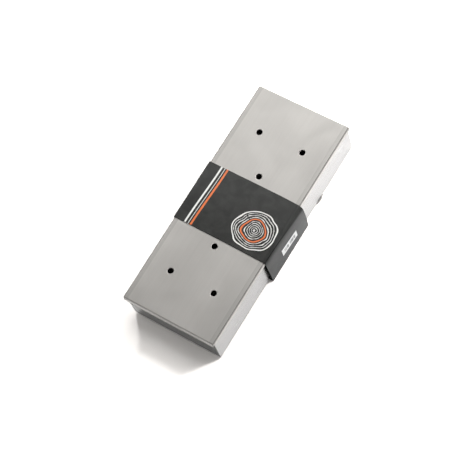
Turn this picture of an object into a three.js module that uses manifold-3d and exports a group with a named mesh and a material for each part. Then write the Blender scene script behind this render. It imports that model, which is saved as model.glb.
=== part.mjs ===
// Smoker box for a grill: a folded steel tray, a lid that slides on its rims, and a card sleeve round both.
// Millimetres. X runs across the box, Y along it with the front end at -Y, and Z is up.
import * as THREE from "three";
import { mergeVertices } from "three/addons/utils/BufferGeometryUtils.js";
import Module from "manifold-3d";

// Sheet steel and clearances
const sheet = 0.5;
const slide_clearance = 0.3;
const weld_gap = 0.3;
const cut_overrun = 1;

// Lid
const lid_length = 221;
const lid_width = 90;
const lid_fold_radius = 1.0;
const lid_return_radius = 0.6;
const front_lip_height = 4.8;
const front_lip_lean = 0.55;
const corner_slit = 0.35;
const vent_diameter = 5.5;
const corner_vent_across = 43;
const corner_vent_along = 144;
const middle_vent_along = 72;

// Tray
const tray_height = 37.6;
const rim_drop = 4;
const rim_gap = 0.6;
const tray_fold_radius = 1.3;
const tray_rear_inset = 0.4;
const end_flange_depth = 8;
const end_flange_margin = 4;
const corner_relief = 0.3;
const grip_tab_width = 12.4;
const grip_tab_reach = 1.9;
const grip_tab_from_middle = 53;

// Card sleeve
const card = 0.5;
const sleeve_length = 58;
const sleeve_slack_at_foot = 1.5;
const sleeve_slack_at_bulge = 2.1;
const sleeve_slack_at_top = 1.1;
const sleeve_fold_radius = 0.8;
const sleeve_soft_fold_radius = 2.1;
const sleeve_bulge_radius = 60;
const glue_flap_width = 16;
const glue_flap_from_side = 12;

// Paper label on the sleeve
const label_width = 22.5;
const label_height = 11.2;
const label_thickness = 0.12;
const label_gap = 0.05;
const label_above_foot = 16.5;
const label_off_middle = 2.2;

// Roundness, as counts and not lengths
const steps_per_turn = 48;
const vent_steps = 32;

// Places that follow from the sizes above
const tray_foot = card + card + slide_clearance;
const rim_top = tray_foot + tray_height;
const lid_top = rim_top + slide_clearance + sheet;
const rim_reach = sheet + rim_gap;
const lid_inside_half = lid_width / 2 - sheet;
const tray_half_width = lid_inside_half - slide_clearance - rim_reach;
const tray_front = -lid_length / 2 + sheet + slide_clearance + rim_reach;
const tray_rear = lid_length / 2 - tray_rear_inset;
const tray_length = tray_rear - tray_front;
const lid_skirt = lid_top - (rim_top - rim_drop - slide_clearance) + sheet;
const sleeve_top = lid_top + slide_clearance + card;
const sleeve_left = -lid_width / 2 - slide_clearance - card;
const sleeve_right = lid_width / 2 + slide_clearance + card;

const wasm = await Module();
wasm.setup();

// A closed geometry as a solid that can be joined and cut.
function solidOf(geometry) {
  const bare = geometry.clone();
  bare.deleteAttribute("normal");
  bare.deleteAttribute("uv");
  const merged = mergeVertices(bare, sheet / 1000);
  return new wasm.Manifold(
    new wasm.Mesh({
      numProp: 3,
      vertProperties: merged.getAttribute("position").array,
      triVerts: new Uint32Array(merged.index.array),
    }),
  );
}

// A solid as a geometry with flat faces.
function geometryOf(solid) {
  const mesh = solid.getMesh();
  const geometry = new THREE.BufferGeometry();
  geometry.setAttribute("position", new THREE.BufferAttribute(new Float32Array(mesh.vertProperties), 3));
  geometry.setIndex(new THREE.BufferAttribute(new Uint32Array(mesh.triVerts), 1));
  const flat = geometry.toNonIndexed();
  flat.computeVertexNormals();
  return flat;
}

// The middle line of a sheet that turns at each corner on its own middle radius, with the side
// direction at each point. A closed line also turns at its first corner.
function bentLine(corners, radii, closed) {
  const points = [];
  const count = corners.length;
  corners.forEach((corner, i) => {
    const isEnd = !closed && (i === 0 || i === count - 1);
    const before = corners[(i + count - 1) % count];
    const after = corners[(i + 1) % count];
    const into = isEnd && i === 0 ? null : corner.clone().sub(before).normalize();
    const out = isEnd && i > 0 ? null : after.clone().sub(corner).normalize();
    if (isEnd) {
      const along = into || out;
      points.push({ at: corner, side: new THREE.Vector2(-along.y, along.x) });
      return;
    }
    const turn = Math.atan2(into.x * out.y - into.y * out.x, into.dot(out));
    const radius = radii[i];
    const tangent = radius * Math.tan(Math.abs(turn) / 2);
    const start = corner.clone().addScaledVector(into, -tangent);
    const towards = new THREE.Vector2(-into.y, into.x).multiplyScalar(Math.sign(turn));
    const centre = start.clone().addScaledVector(towards, radius);
    const steps = Math.max(2, Math.ceil((steps_per_turn * Math.abs(turn)) / (2 * Math.PI)));
    for (let k = 0; k <= steps; k += 1) {
      const angle = (turn * k) / steps;
      const spoke = towards.clone().negate().rotateAround(new THREE.Vector2(), angle);
      const side = spoke.clone().multiplyScalar(-Math.sign(turn));
      points.push({ at: centre.clone().addScaledVector(spoke, radius), side });
    }
  });
  return points;
}

function pushedAside(points, distance) {
  return points.map((point) => point.at.clone().addScaledVector(point.side, distance));
}

// The cross-section of an open strip of sheet: out along one side and back along the other.
function stripSection(corners, radii, thickness) {
  const line = bentLine(corners, radii, false);
  const left = pushedAside(line, thickness / 2);
  const right = pushedAside(line, -thickness / 2);
  return new THREE.Shape([...right, ...left.reverse()]);
}

// The cross-section of a closed band of sheet, for corners that run anticlockwise.
function bandSection(corners, radii, thickness) {
  const line = bentLine(corners, radii, true);
  const section = new THREE.Shape(pushedAside(line, -thickness / 2));
  section.holes.push(new THREE.Path(pushedAside(line, thickness / 2).reverse()));
  return section;
}

const flatEnds = (depth) => ({ depth, bevelEnabled: false, curveSegments: vent_steps });

// A cross-section drawn in X and Z, carried along Y between two places.
function alongBox(section, from, to) {
  return new THREE.ExtrudeGeometry(section, flatEnds(to - from))
    .rotateX(Math.PI / 2)
    .translate(0, to, 0);
}

// A cross-section drawn in Y and Z, carried along X between two places.
function acrossBox(section, from, to) {
  const axes = new THREE.Matrix4().makeBasis(
    new THREE.Vector3(0, 1, 0),
    new THREE.Vector3(0, 0, 1),
    new THREE.Vector3(1, 0, 0),
  );
  return new THREE.ExtrudeGeometry(section, flatEnds(to - from))
    .applyMatrix4(axes)
    .translate(from, 0, 0);
}

// A cross-section drawn in X and Y, carried up Z between two heights.
function upright(section, from, to) {
  return new THREE.ExtrudeGeometry(section, flatEnds(to - from)).translate(0, 0, from);
}

const point = (a, b) => new THREE.Vector2(a, b);

// The tray shell: floor and long walls from one sheet, each wall's top edge rolled outwards.
function trayShell() {
  const wall = tray_half_width - sheet / 2;
  const rim = tray_half_width + rim_gap + sheet / 2;
  const roll = (rim - wall) / 2;
  const top = tray_height - sheet / 2;
  const floor = sheet / 2;
  const fold = tray_fold_radius - sheet / 2;
  const corners = [
    point(-rim, tray_height - rim_drop),
    point(-rim, top),
    point(-wall, top),
    point(-wall, floor),
    point(wall, floor),
    point(wall, top),
    point(rim, top),
    point(rim, tray_height - rim_drop),
  ];
  const radii = [0, roll, roll, fold, fold, roll, roll, 0];
  const shell = solidOf(alongBox(stripSection(corners, radii, sheet), tray_front, tray_rear));
  return geometryOf(shell.add(gripTab()));
}

// A half-moon tab that stands out level with the floor of the tray, at the foot of the right wall.
function gripTab() {
  const half = grip_tab_width / 2;
  const radius = (half * half + grip_tab_reach * grip_tab_reach) / (2 * grip_tab_reach);
  const spread = Math.asin(half / radius);
  const root = tray_half_width - tray_fold_radius;
  const centre = tray_half_width + grip_tab_reach - radius;
  const outline = new THREE.Shape();
  outline.moveTo(root, -half);
  outline.lineTo(tray_half_width, -half);
  outline.absarc(centre, 0, radius, -spread, spread, false);
  outline.lineTo(root, half);
  outline.closePath();
  return solidOf(upright(outline, 0, sheet).translate(0, grip_tab_from_middle, 0));
}

// An end wall, drawn with its outer face at Y = 0 and the tray behind it. Its foot and sides are
// turned in for welding, and its top edge is rolled outwards, or inwards where the lid runs over it.
function endWall(rollsOutwards) {
  const face = sheet / 2;
  const roll = (rim_gap + sheet) / 2;
  const rim = rollsOutwards ? face - 2 * roll : face + 2 * roll;
  const top = tray_height - sheet / 2;
  const foot = sheet + weld_gap + sheet / 2;
  const fold = tray_fold_radius - sheet / 2;
  const reach = tray_half_width - sheet - weld_gap;
  const corners = [
    point(end_flange_depth, foot),
    point(face, foot),
    point(face, top),
    point(rim, top),
    point(rim, tray_height - rim_drop),
  ];
  const section = stripSection(corners, [0, fold, roll, roll, 0], sheet);
  const half = reach - corner_relief;
  const plate = solidOf(acrossBox(section, -half, half));
  const foldedSide = stripSection(
    [
      point(reach - end_flange_depth / 2, face),
      point(reach - sheet / 2, face),
      point(reach - sheet / 2, end_flange_depth),
    ],
    [0, fold, 0],
    sheet,
  );
  const low = foot + end_flange_margin;
  const high = tray_height - rim_drop - end_flange_margin;
  const rightFlange = solidOf(upright(foldedSide, low, high));
  const leftFlange = rightFlange.mirror([1, 0, 0]);
  const notch = (side) => {
    const width = fold + corner_relief + cut_overrun;
    const block = new THREE.BoxGeometry(width, sheet * 3, high - low);
    block.translate(side * (reach - fold + width / 2), face, (low + high) / 2);
    return solidOf(block);
  };
  return geometryOf(plate.subtract(notch(1)).subtract(notch(-1)).add(rightFlange).add(leftFlange));
}

// The lid, drawn with its top face at height zero: side skirts that hook under the rims of the
// tray, a finger lip at the front, an open rear end, and six vent holes.
function lid() {
  const side = lid_width / 2 - sheet / 2;
  const top = -sheet / 2;
  const hook = -lid_skirt + sheet / 2;
  const hookEnd = tray_half_width + slide_clearance;
  const fold = lid_fold_radius - sheet / 2;
  const turn = lid_return_radius - sheet / 2;
  const front = -lid_length / 2;
  const rear = lid_length / 2;
  const channelEnd = front + sheet + lid_fold_radius;
  const channel = stripSection(
    [
      point(-hookEnd, hook),
      point(-side, hook),
      point(-side, top),
      point(side, top),
      point(side, hook),
      point(hookEnd, hook),
    ].reverse(),
    [0, turn, fold, fold, turn, 0],
    sheet,
  );
  const lipFoot = -front_lip_height;
  const skirt = stripSection(
    [point(side, lipFoot), point(side, top), point(-side, top), point(-side, lipFoot)],
    [0, fold, fold, 0],
    sheet,
  );
  const lipFold = front + sheet / 2;
  const lip = stripSection(
    [
      point(lipFold + lid_fold_radius * 3, top),
      point(lipFold, top),
      point(lipFold - front_lip_lean, lipFoot),
    ],
    [0, fold, 0],
    sheet,
  );
  const made = solidOf(alongBox(channel, channelEnd, rear))
    .add(solidOf(alongBox(skirt, front - front_lip_lean, channelEnd)))
    .add(solidOf(acrossBox(lip, -lid_width / 2, lid_width / 2)));
  return geometryOf(
    made
      .intersect(frontOutline(lipFold, top, lipFoot, fold, rear))
      .intersect(sideOutline(side, top, fold, front, rear))
      .subtract(cornerSlits(front))
      .subtract(ventHoles()),
  );
}

// Everything behind the lid's front fold and lip, which trims the corners of the lid to that fold.
function frontOutline(lipFold, top, lipFoot, fold, rear) {
  const line = bentLine(
    [
      point(rear + cut_overrun, top),
      point(lipFold, top),
      point(lipFold - front_lip_lean, lipFoot),
    ],
    [0, fold, 0],
    false,
  );
  const outside = pushedAside(line, -sheet / 2);
  const last = outside[outside.length - 1];
  const under = -lid_skirt - cut_overrun;
  outside.push(point(last.x, under), point(rear + cut_overrun, under));
  return solidOf(acrossBox(new THREE.Shape(outside), -lid_width, lid_width));
}

// Everything between the lid's side folds, which trims the ends of the front lip to those folds.
function sideOutline(side, top, fold, front, rear) {
  const under = -lid_skirt - cut_overrun;
  const line = bentLine(
    [point(side, under), point(side, top), point(-side, top), point(-side, under)],
    [0, fold, fold, 0],
    false,
  );
  const outside = pushedAside(line, -sheet / 2);
  return solidOf(
    alongBox(new THREE.Shape(outside), front - front_lip_lean - cut_overrun, rear + cut_overrun),
  );
}

// The open slit at each front corner, where the lip and the side skirt come together unwelded.
function cornerSlits(front) {
  const length = sheet * 4;
  const height = lid_skirt;
  const slit = (side) => {
    const block = new THREE.BoxGeometry(length, corner_slit, height);
    block.rotateZ((side * -Math.PI) / 4);
    block.translate(side * (lid_width / 2 - sheet), front + sheet, -lid_fold_radius - height / 2);
    return solidOf(block);
  };
  return slit(1).add(slit(-1));
}

// Two triangles of vents that point at each other, one at each end of the lid.
function ventHoles() {
  const places = [];
  for (const end of [-1, 1]) {
    places.push([-corner_vent_across / 2, (end * corner_vent_along) / 2]);
    places.push([corner_vent_across / 2, (end * corner_vent_along) / 2]);
    places.push([0, (end * middle_vent_along) / 2]);
  }
  const drills = places.map(([x, y]) => {
    const drill = new THREE.CylinderGeometry(
      vent_diameter / 2,
      vent_diameter / 2,
      sheet + 2 * cut_overrun,
      vent_steps,
    );
    drill.rotateX(Math.PI / 2);
    drill.translate(x, y, -sheet / 2);
    return solidOf(drill);
  });
  return drills.reduce((all, drill) => all.add(drill));
}

// The corners of the sleeve's right panel on its outer face, from foot to top.
const sleeve_foot_corner = point(sleeve_right + sleeve_slack_at_foot - slide_clearance, 0);
const sleeve_bulge_corner = point(sleeve_right + sleeve_slack_at_bulge - slide_clearance, sleeve_top / 2);
const sleeve_top_corner = point(sleeve_right + sleeve_slack_at_top - slide_clearance, sleeve_top);

// A card band, glued shut under the box: close on the left, slack on the right.
function cardSleeve() {
  const half = card / 2;
  const corners = [
    point(sleeve_left + half, half),
    point(sleeve_foot_corner.x - half, half),
    point(sleeve_bulge_corner.x - half, sleeve_bulge_corner.y),
    point(sleeve_top_corner.x - half, sleeve_top - half),
    point(sleeve_left + half, sleeve_top - half),
  ];
  const fold = sleeve_fold_radius - half;
  const radii = [fold, fold, sleeve_bulge_radius, sleeve_soft_fold_radius - half, fold];
  const end = sleeve_length / 2;
  const band = solidOf(alongBox(bandSection(corners, radii, card), -end, end));
  const flapRight = sleeve_right - glue_flap_from_side;
  const flap = new THREE.BoxGeometry(glue_flap_width, sleeve_length, card);
  flap.translate(flapRight - glue_flap_width / 2, 0, card * 1.5);
  return geometryOf(band.add(solidOf(flap)));
}

// A paper label, stuck flat on the lower half of the sleeve's right panel.
function paperLabel() {
  return new THREE.BoxGeometry(label_thickness, label_width, label_height);
}

function finish(name, colour, roughness, metalness) {
  return new THREE.MeshStandardMaterial({ name, color: colour, roughness, metalness });
}

function piece(name, geometry, material) {
  const mesh = new THREE.Mesh(geometry, material);
  mesh.name = name;
  return mesh;
}

const tray = new THREE.Group();
tray.position.z = tray_foot;
tray.add(piece("tray_shell", trayShell(), finish("brushed steel", 0xbdbab4, 0.35, 1)));
const frontWall = piece("front_end_wall", endWall(true), finish("brushed steel front", 0xb8b5b0, 0.35, 1));
frontWall.position.y = tray_front;
const rearWall = piece("rear_end_wall", endWall(false), finish("brushed steel rear", 0xb8b5b0, 0.35, 1));
rearWall.position.y = tray_rear;
rearWall.rotation.z = Math.PI;
tray.add(frontWall, rearWall);

const slidingLid = piece("sliding_lid", lid(), finish("brushed steel lid", 0xc4c1bb, 0.33, 1));
slidingLid.position.z = lid_top;

const sleeve = new THREE.Group();
sleeve.add(piece("card_sleeve", cardSleeve(), finish("printed card", 0x3d3f3c, 0.7, 0)));
const label = piece("paper_label", paperLabel(), finish("white paper", 0xf2f1ee, 0.8, 0));
const panelLean = Math.atan2(sleeve_bulge_corner.x - sleeve_foot_corner.x, sleeve_bulge_corner.y);
const up_panel = label_above_foot / sleeve_bulge_corner.y;
const label_stand_off = (label_gap + label_thickness / 2) / Math.cos(panelLean);
label.position.set(
  THREE.MathUtils.lerp(sleeve_foot_corner.x, sleeve_bulge_corner.x, up_panel) + label_stand_off,
  label_off_middle,
  label_above_foot,
);
label.rotation.y = panelLean;
sleeve.add(label);

// The whole box, moved so that its origin lies under the middle of its outer size.
const smokerBox = new THREE.Group();
smokerBox.add(tray, slidingLid, sleeve);
const middle = new THREE.Box3().setFromObject(smokerBox, true).getCenter(new THREE.Vector3());
smokerBox.position.set(-middle.x, -middle.y, 0);

const part = new THREE.Group();
part.add(smokerBox);

export default part;
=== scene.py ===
# Looks of a steel smoker box for a grill: brushed tray and lid, printed card sleeve and paper label.
import math

import bmesh
import bpy
import numpy as np
from mathutils import Matrix, Vector


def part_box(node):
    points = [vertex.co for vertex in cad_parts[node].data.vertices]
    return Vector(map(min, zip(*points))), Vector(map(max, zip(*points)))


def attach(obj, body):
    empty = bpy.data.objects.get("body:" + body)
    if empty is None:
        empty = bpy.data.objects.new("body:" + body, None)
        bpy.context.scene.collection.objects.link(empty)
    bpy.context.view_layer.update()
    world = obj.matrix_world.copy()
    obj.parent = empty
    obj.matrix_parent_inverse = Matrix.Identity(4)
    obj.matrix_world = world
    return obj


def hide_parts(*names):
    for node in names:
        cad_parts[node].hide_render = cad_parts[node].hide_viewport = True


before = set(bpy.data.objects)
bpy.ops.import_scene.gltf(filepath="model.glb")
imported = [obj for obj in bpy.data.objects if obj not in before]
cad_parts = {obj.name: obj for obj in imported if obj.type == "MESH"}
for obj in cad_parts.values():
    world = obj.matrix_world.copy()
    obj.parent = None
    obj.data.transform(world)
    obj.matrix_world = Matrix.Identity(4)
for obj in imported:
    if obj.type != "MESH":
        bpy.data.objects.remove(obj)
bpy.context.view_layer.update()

# Sizes are in millimetres, measured from the middle of the lid and from the table, as the box is drawn.
METRE = 0.001
lid_low, lid_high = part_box("sliding_lid")
LID_LENGTH = 221.0
BOX_SHIFT = np.array([
    (lid_low.x + lid_high.x) / 2 / METRE,
    lid_high.y / METRE - LID_LENGTH / 2,
    0.0,
])

# Places and angles are the same where they differ by less than TOUCH, and points closer than
# JOIN_WITHIN are joined.
TOUCH = 1e-6
JOIN_WITHIN = 0.002
# The UV map named flat holds the cutting places of a sheet, in tenths of a metre.
FLAT_SCALE = 0.01
# An edge that turns by more than this, in degrees, is softened.
SHARP_ANGLE = 50.0

SHEET = 0.5
LID_HALF = 45.0
LID_TOP = 39.7
LID_FOLD = 0.8
LID_FLAT = LID_HALF - LID_FOLD
LID_FRONT_FOLD = LID_FOLD - LID_LENGTH / 2
LID_RETURN = 0.6
LID_SKIRT = 5.6
HOOK_CLEAR = 0.25
HOOK_WIDTH = 2.2
HOOK_SET_BACK = 0.8
LIP_HEIGHT = 4.8
LIP_LEAN = 0.8
CORNER_GAP = 0.16

# The lid's flat top bows from level in a patchy, a slanted and a long wave. ACROSS and ALONG are the
# distance for one radian of a wave, and START is its angle at the middle of the lid.
PATCHY_BOW, PATCHY_ACROSS, PATCHY_ALONG = 0.05, 19.0, 37.0
PATCHY_START_ACROSS, PATCHY_START_ALONG = 0.8, 0.5
SLANTED_BOW, SLANTED_ACROSS, SLANTED_ALONG, SLANTED_START = 0.02, 11.0, 29.0, 2.1
LONG_BOW, LONG_ALONG, LONG_START = 0.04, 55.0, -0.7
LIP_LEVELS_WITHIN = 12.0

VENT_RADIUS = 2.75
VENT_SIDE = 21.5
VENT_END = 72.0
VENT_MIDDLE = 36.0
VENT_PLACES = [
    (-VENT_SIDE, -VENT_END), (VENT_SIDE, -VENT_END), (0, -VENT_MIDDLE),
    (0, VENT_MIDDLE), (-VENT_SIDE, VENT_END), (VENT_SIDE, VENT_END),
]
VENT_CELL = 6.0
VENT_STEPS = 12
VENT_ROLL = 0.55
VENT_DROP = 0.07
VENT_RINGS = 0, 0.08, 0.17, 0.27, 0.4, VENT_ROLL, 1.2, 2.0

TRAY_FOOT = 1.3
TRAY_HEIGHT = 37.6
TRAY_HALF = 43.6
TRAY_FRONT = -108.6
TRAY_REAR = 110.1
TRAY_FOLD = 0.8
# Share of fold on the tray's bends, for their painted shade and their wear
TRAY_FOLD_SHADE_AND_WEAR_SHARE = 0.15
RIM_GAP = 0.1
RIM_DROP = 4.0
WELD_GAP = 0.3
FLANGE_DEPTH = 8.0
FLANGE_MARGIN = 4.0
CORNER_RELIEF = 0.3
TAB_WIDTH = 11.6
TAB_REACH = 1.3
TAB_FROM_MIDDLE = 54.0
TAB_TURN = 4.0
TAB_ROOT_SHARE = 0.7

CARD = 0.5
SLEEVE_HALF = 29.0
SLEEVE_LEFT = -45.8
SLEEVE_TOP = 40.5
SLEEVE_FOLD = 0.8
SLEEVE_SKEW, SLEEVE_SKEW_WIDTH = 0.6, 41.0
FLAP_END = 17.8
FLAP_STEP_TOP, FLAP_STEP_FOOT = 32.9, 34.2
FLAP_STEP_FOLD = 0.5
FLAP_FILM = 0.03
SLEEVE_FLOOR_END = 32.2

# The shoulder, where the right panel meets the top, is a slanted strip between a bend and a crease.
# A pair of sizes here is the size at the front edge, and how much it has grown at the back edge.
PANEL_FOOT = 47.0
PANEL_TOP = 45.75, 1.9
PANEL_PUSH = 0.3, 0.45
PANEL_PUSH_SHARE = 0.93
SHOULDER_RISE = 0.1, 0.25
SHOULDER_CUT = 0.8, 2.4
SHOULDER_SLOPE = 38.0
SHOULDER_BEND = 1.0, 3.45
SHOULDER_CREASE = 0.45
SHOULDER_OPENS = -20.0
ARCH_RISE = 0.15, 0.55
ARCH_PLACE, ARCH_WIDTH = 27.0, 11.0
WIDE_ARCH_RISE, WIDE_ARCH_START, WIDE_ARCH_WIDTH = 0.12, -46.0, 92.0
ARCH_FROM, ARCH_FULL = 36.0, 40.0
UNSCORED_SIDE, UNSCORED_LOW, UNSCORED_HIGH = 44.0, 36.0, 40.15
UNSCORED_SHARE = 0.2
PUSHED_SIDE, PUSHED_LOW = 40.0, 1.2
TOP_FACE = 39.8

LABEL_WIDTH = 22.1
LABEL_HEIGHT = 9.8
LABEL_THICKNESS = 0.12
LABEL_GLUE = 0.05
LABEL_ALONG, LABEL_UP = 2.25, 19.1
LABEL_SKEW = 0.4
LABEL_TURN = -0.7
LABEL_PANEL_HEIGHT = 40.3


# Shapes

def turned_line(corners, radii, straights, arc_steps=8):
    """A line through corners, each rounded to an arc that touches both of its straights.
    An arc of radius r that turns by a starts r * tan(a / 2) before its corner, and its points are the
    centre plus the first spoke turned in equal steps. corners is (count, stations, 2) and radii is
    (count, stations), so that one call gives the line at every station. straights holds the number
    of equal steps on each straight. Returns the points and the share of fold at each of them."""
    corners = np.asarray(corners, float)
    radii = np.asarray(radii, float)
    along = np.diff(corners, axis=0)
    along /= np.linalg.norm(along, axis=-1, keepdims=True)
    rows, fold = [corners[:1]], [0.0]
    last = corners[0]
    for i in range(1, len(corners)):
        if i == len(corners) - 1:
            start, arc = corners[i], np.empty((0,) + corners[i].shape)
        else:
            a, b = along[i - 1], along[i]
            turn = np.arctan2(a[:, 0] * b[:, 1] - a[:, 1] * b[:, 0], (a * b).sum(-1))
            tangent = radii[i] * np.tan(np.abs(turn) / 2)
            start = corners[i] - a * tangent[:, None]
            side = np.stack([-a[:, 1], a[:, 0]], -1) * np.sign(turn)[:, None]
            centre = start + side * radii[i][:, None]
            turned = abs(turn).max() > TOUCH
            share = np.linspace(0, 1, arc_steps + 1)[1:, None] if turned else np.empty((0, 1))
            angle = share * turn[None]
            spoke = -side * radii[i][:, None]
            arc = centre + np.stack([
                spoke[:, 0] * np.cos(angle) - spoke[:, 1] * np.sin(angle),
                spoke[:, 0] * np.sin(angle) + spoke[:, 1] * np.cos(angle),
            ], -1)
        steps = np.linspace(0, 1, straights[i - 1] + 1)[1:, None, None]
        rows += [last + (start - last) * steps, arc]
        fold += [0.0] * straights[i - 1] + [1.0] * len(arc)
        last = arc[-1] if len(arc) else start
    return np.concatenate(rows), np.array(fold)


def section(corners, radii, straights):
    """A turned line with one station: a cross-section of steel sheet."""
    line, fold = turned_line(np.array(corners)[:, None], np.array(radii)[:, None], straights)
    return line[:, 0], fold


def developed(line):
    """The distance along a line from its first point: the running sum of its step lengths."""
    steps = np.linalg.norm(np.diff(line, axis=0), axis=-1)
    return np.concatenate([np.zeros((1,) + steps.shape[1:]), np.cumsum(steps, axis=0)])


def grid(x, y, z):
    """Points from their three places, each spread over the whole grid."""
    return np.stack(np.broadcast_arrays(x, y, z), -1)


def patch(points, across, along, fold=0.0):
    """A grid of a piece's middle surface: its points, its flat cutting places and its share of fold."""
    shape = points.shape[:2]
    flat = np.stack([np.broadcast_to(across, shape), np.broadcast_to(along, shape)], -1)
    return points, flat, np.broadcast_to(fold, shape)


def sheet_piece(name, patches, thickness, finishes, body, nodes, soften=0.06, keep=None):
    """One piece of bent sheet. The patches' middle surfaces are joined where they meet, the sheet gets
    half its thickness to each side, and its cut edges are softened. finishes are its outer face, its
    inner face and its cut edge. keep is the mask of quads that stay in the first patch, or None."""
    points, flats, folds, faces, first = [], [], [], [], 0
    for places, flat, fold in patches:
        rows, columns = places.shape[:2]
        index = first + np.arange(rows * columns).reshape(rows, columns)
        quads = np.stack([index[:-1, :-1], index[1:, :-1], index[1:, 1:], index[:-1, 1:]], -1)
        if keep is not None and first == 0:
            quads = quads[keep]
        faces.append(quads.reshape(-1, 4))
        points.append(places.reshape(-1, 3))
        flats.append(flat.reshape(-1, 2))
        folds.append(fold.reshape(-1))
        first += rows * columns
    points, flats, folds, faces = (np.concatenate(part) for part in (points, flats, folds, faces))
    flats = (flats[faces.ravel()] * FLAT_SCALE).astype(np.float32)
    mesh = bpy.data.meshes.new(name)
    mesh.from_pydata(((points + BOX_SHIFT) * METRE).tolist(), [], faces.tolist())
    mesh.uv_layers.new(name="flat").data.foreach_set("uv", flats.ravel())
    # The share of fold, which the steel and card finishes darken as painted shade
    mesh.attributes.new("fold", "FLOAT", "POINT").data.foreach_set("value", folds.astype(np.float32))
    joined = bmesh.new()
    joined.from_mesh(mesh)
    bmesh.ops.remove_doubles(joined, verts=joined.verts, dist=JOIN_WITHIN * METRE)
    loose = [v for v in joined.verts if not v.link_faces]
    bmesh.ops.delete(joined, geom=loose, context="VERTS")
    joined.to_mesh(mesh)
    joined.free()
    mesh.polygons.foreach_set("use_smooth", np.ones(len(mesh.polygons), bool))
    piece = bpy.data.objects.new(name, mesh)
    bpy.context.scene.collection.objects.link(piece)
    for finish in finishes:
        mesh.materials.append(finish)
    thick = piece.modifiers.new("thickness", "SOLIDIFY")
    thick.thickness = thickness * METRE
    thick.offset = 0
    thick.use_even_offset = True
    thick.material_offset = 1
    thick.material_offset_rim = 2
    edge = piece.modifiers.new("cut edge", "BEVEL")
    edge.limit_method = "ANGLE"
    edge.angle_limit = math.radians(SHARP_ANGLE)
    edge.width = soften * METRE
    edge.segments = 2
    flat_shading = piece.modifiers.new("even shading", "WEIGHTED_NORMAL")
    flat_shading.keep_sharp = False
    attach(piece, body)
    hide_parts(*nodes)
    return piece


def grid_lines(low, high, vents, between):
    """The places of the lid's grid lines one way: VENT_STEPS equal steps over each vent's square, and
    the given numbers of steps before, between and after the squares."""
    stops, steps = [low], []
    for vent, gap in zip(vents, between):
        stops += [vent - VENT_CELL, vent + VENT_CELL]
        steps += [gap, VENT_STEPS]
    stops.append(high)
    steps.append(between[-1])
    parts = [np.linspace(a, b, n + 1)[1:] for a, b, n in zip(stops, stops[1:], steps)]
    return np.concatenate([[low], *parts])


def sheet_wave(x, y):
    """How far the lid's flat top bows from level: a product of two sines, plus a slanted sine, plus a
    cosine along the lid. It fades by one minus the square of the share across, and evenly to the lip."""
    fade = (1 - (x / LID_HALF) ** 2) * np.clip((y + LID_LENGTH / 2) / LIP_LEVELS_WITHIN, 0, 1)
    wave = PATCHY_BOW * np.sin(x / PATCHY_ACROSS + PATCHY_START_ACROSS)
    wave *= np.sin(y / PATCHY_ALONG + PATCHY_START_ALONG)
    wave += SLANTED_BOW * np.sin(x / SLANTED_ACROSS - y / SLANTED_ALONG + SLANTED_START)
    wave += LONG_BOW * np.cos(y / LONG_ALONG + LONG_START)
    return wave * fade


def vent_patch(x, y):
    """A square of the lid with a round hole: rings that step out from the hole's edge, and a last
    ring on the square. Both start at the square's front left corner. The edge rolls down by a
    parabola, as a punch leaves it."""
    side = np.linspace(-1, 1, VENT_STEPS + 1)[:-1]
    one = np.ones_like(side)
    square = np.concatenate([
        np.stack([side, -one], -1), np.stack([one, side], -1),
        np.stack([-side, one], -1), np.stack([-one, -side], -1),
    ]) * VENT_CELL
    count = len(square)
    angle = np.radians(-135) + np.arange(count) * 2 * np.pi / count
    spoke = np.stack([np.cos(angle), np.sin(angle)], -1)
    rings = (VENT_RADIUS + np.array(VENT_RINGS))[:, None, None] * spoke
    rings = np.concatenate([rings, square[None]])
    rings = np.concatenate([rings, rings[:, :1]], axis=1)
    roll = np.clip(1 - np.array([*VENT_RINGS, VENT_CELL]) / VENT_ROLL, 0, 1)[:, None]
    px, py = rings[..., 0] + x, rings[..., 1] + y
    height = LID_TOP - SHEET / 2 + sheet_wave(px, py) - VENT_DROP * roll ** 2
    # The rolled rim carries a share of fold, so it takes the painted fold shade
    return patch(grid(px, py, height), px, py, roll)


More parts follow.
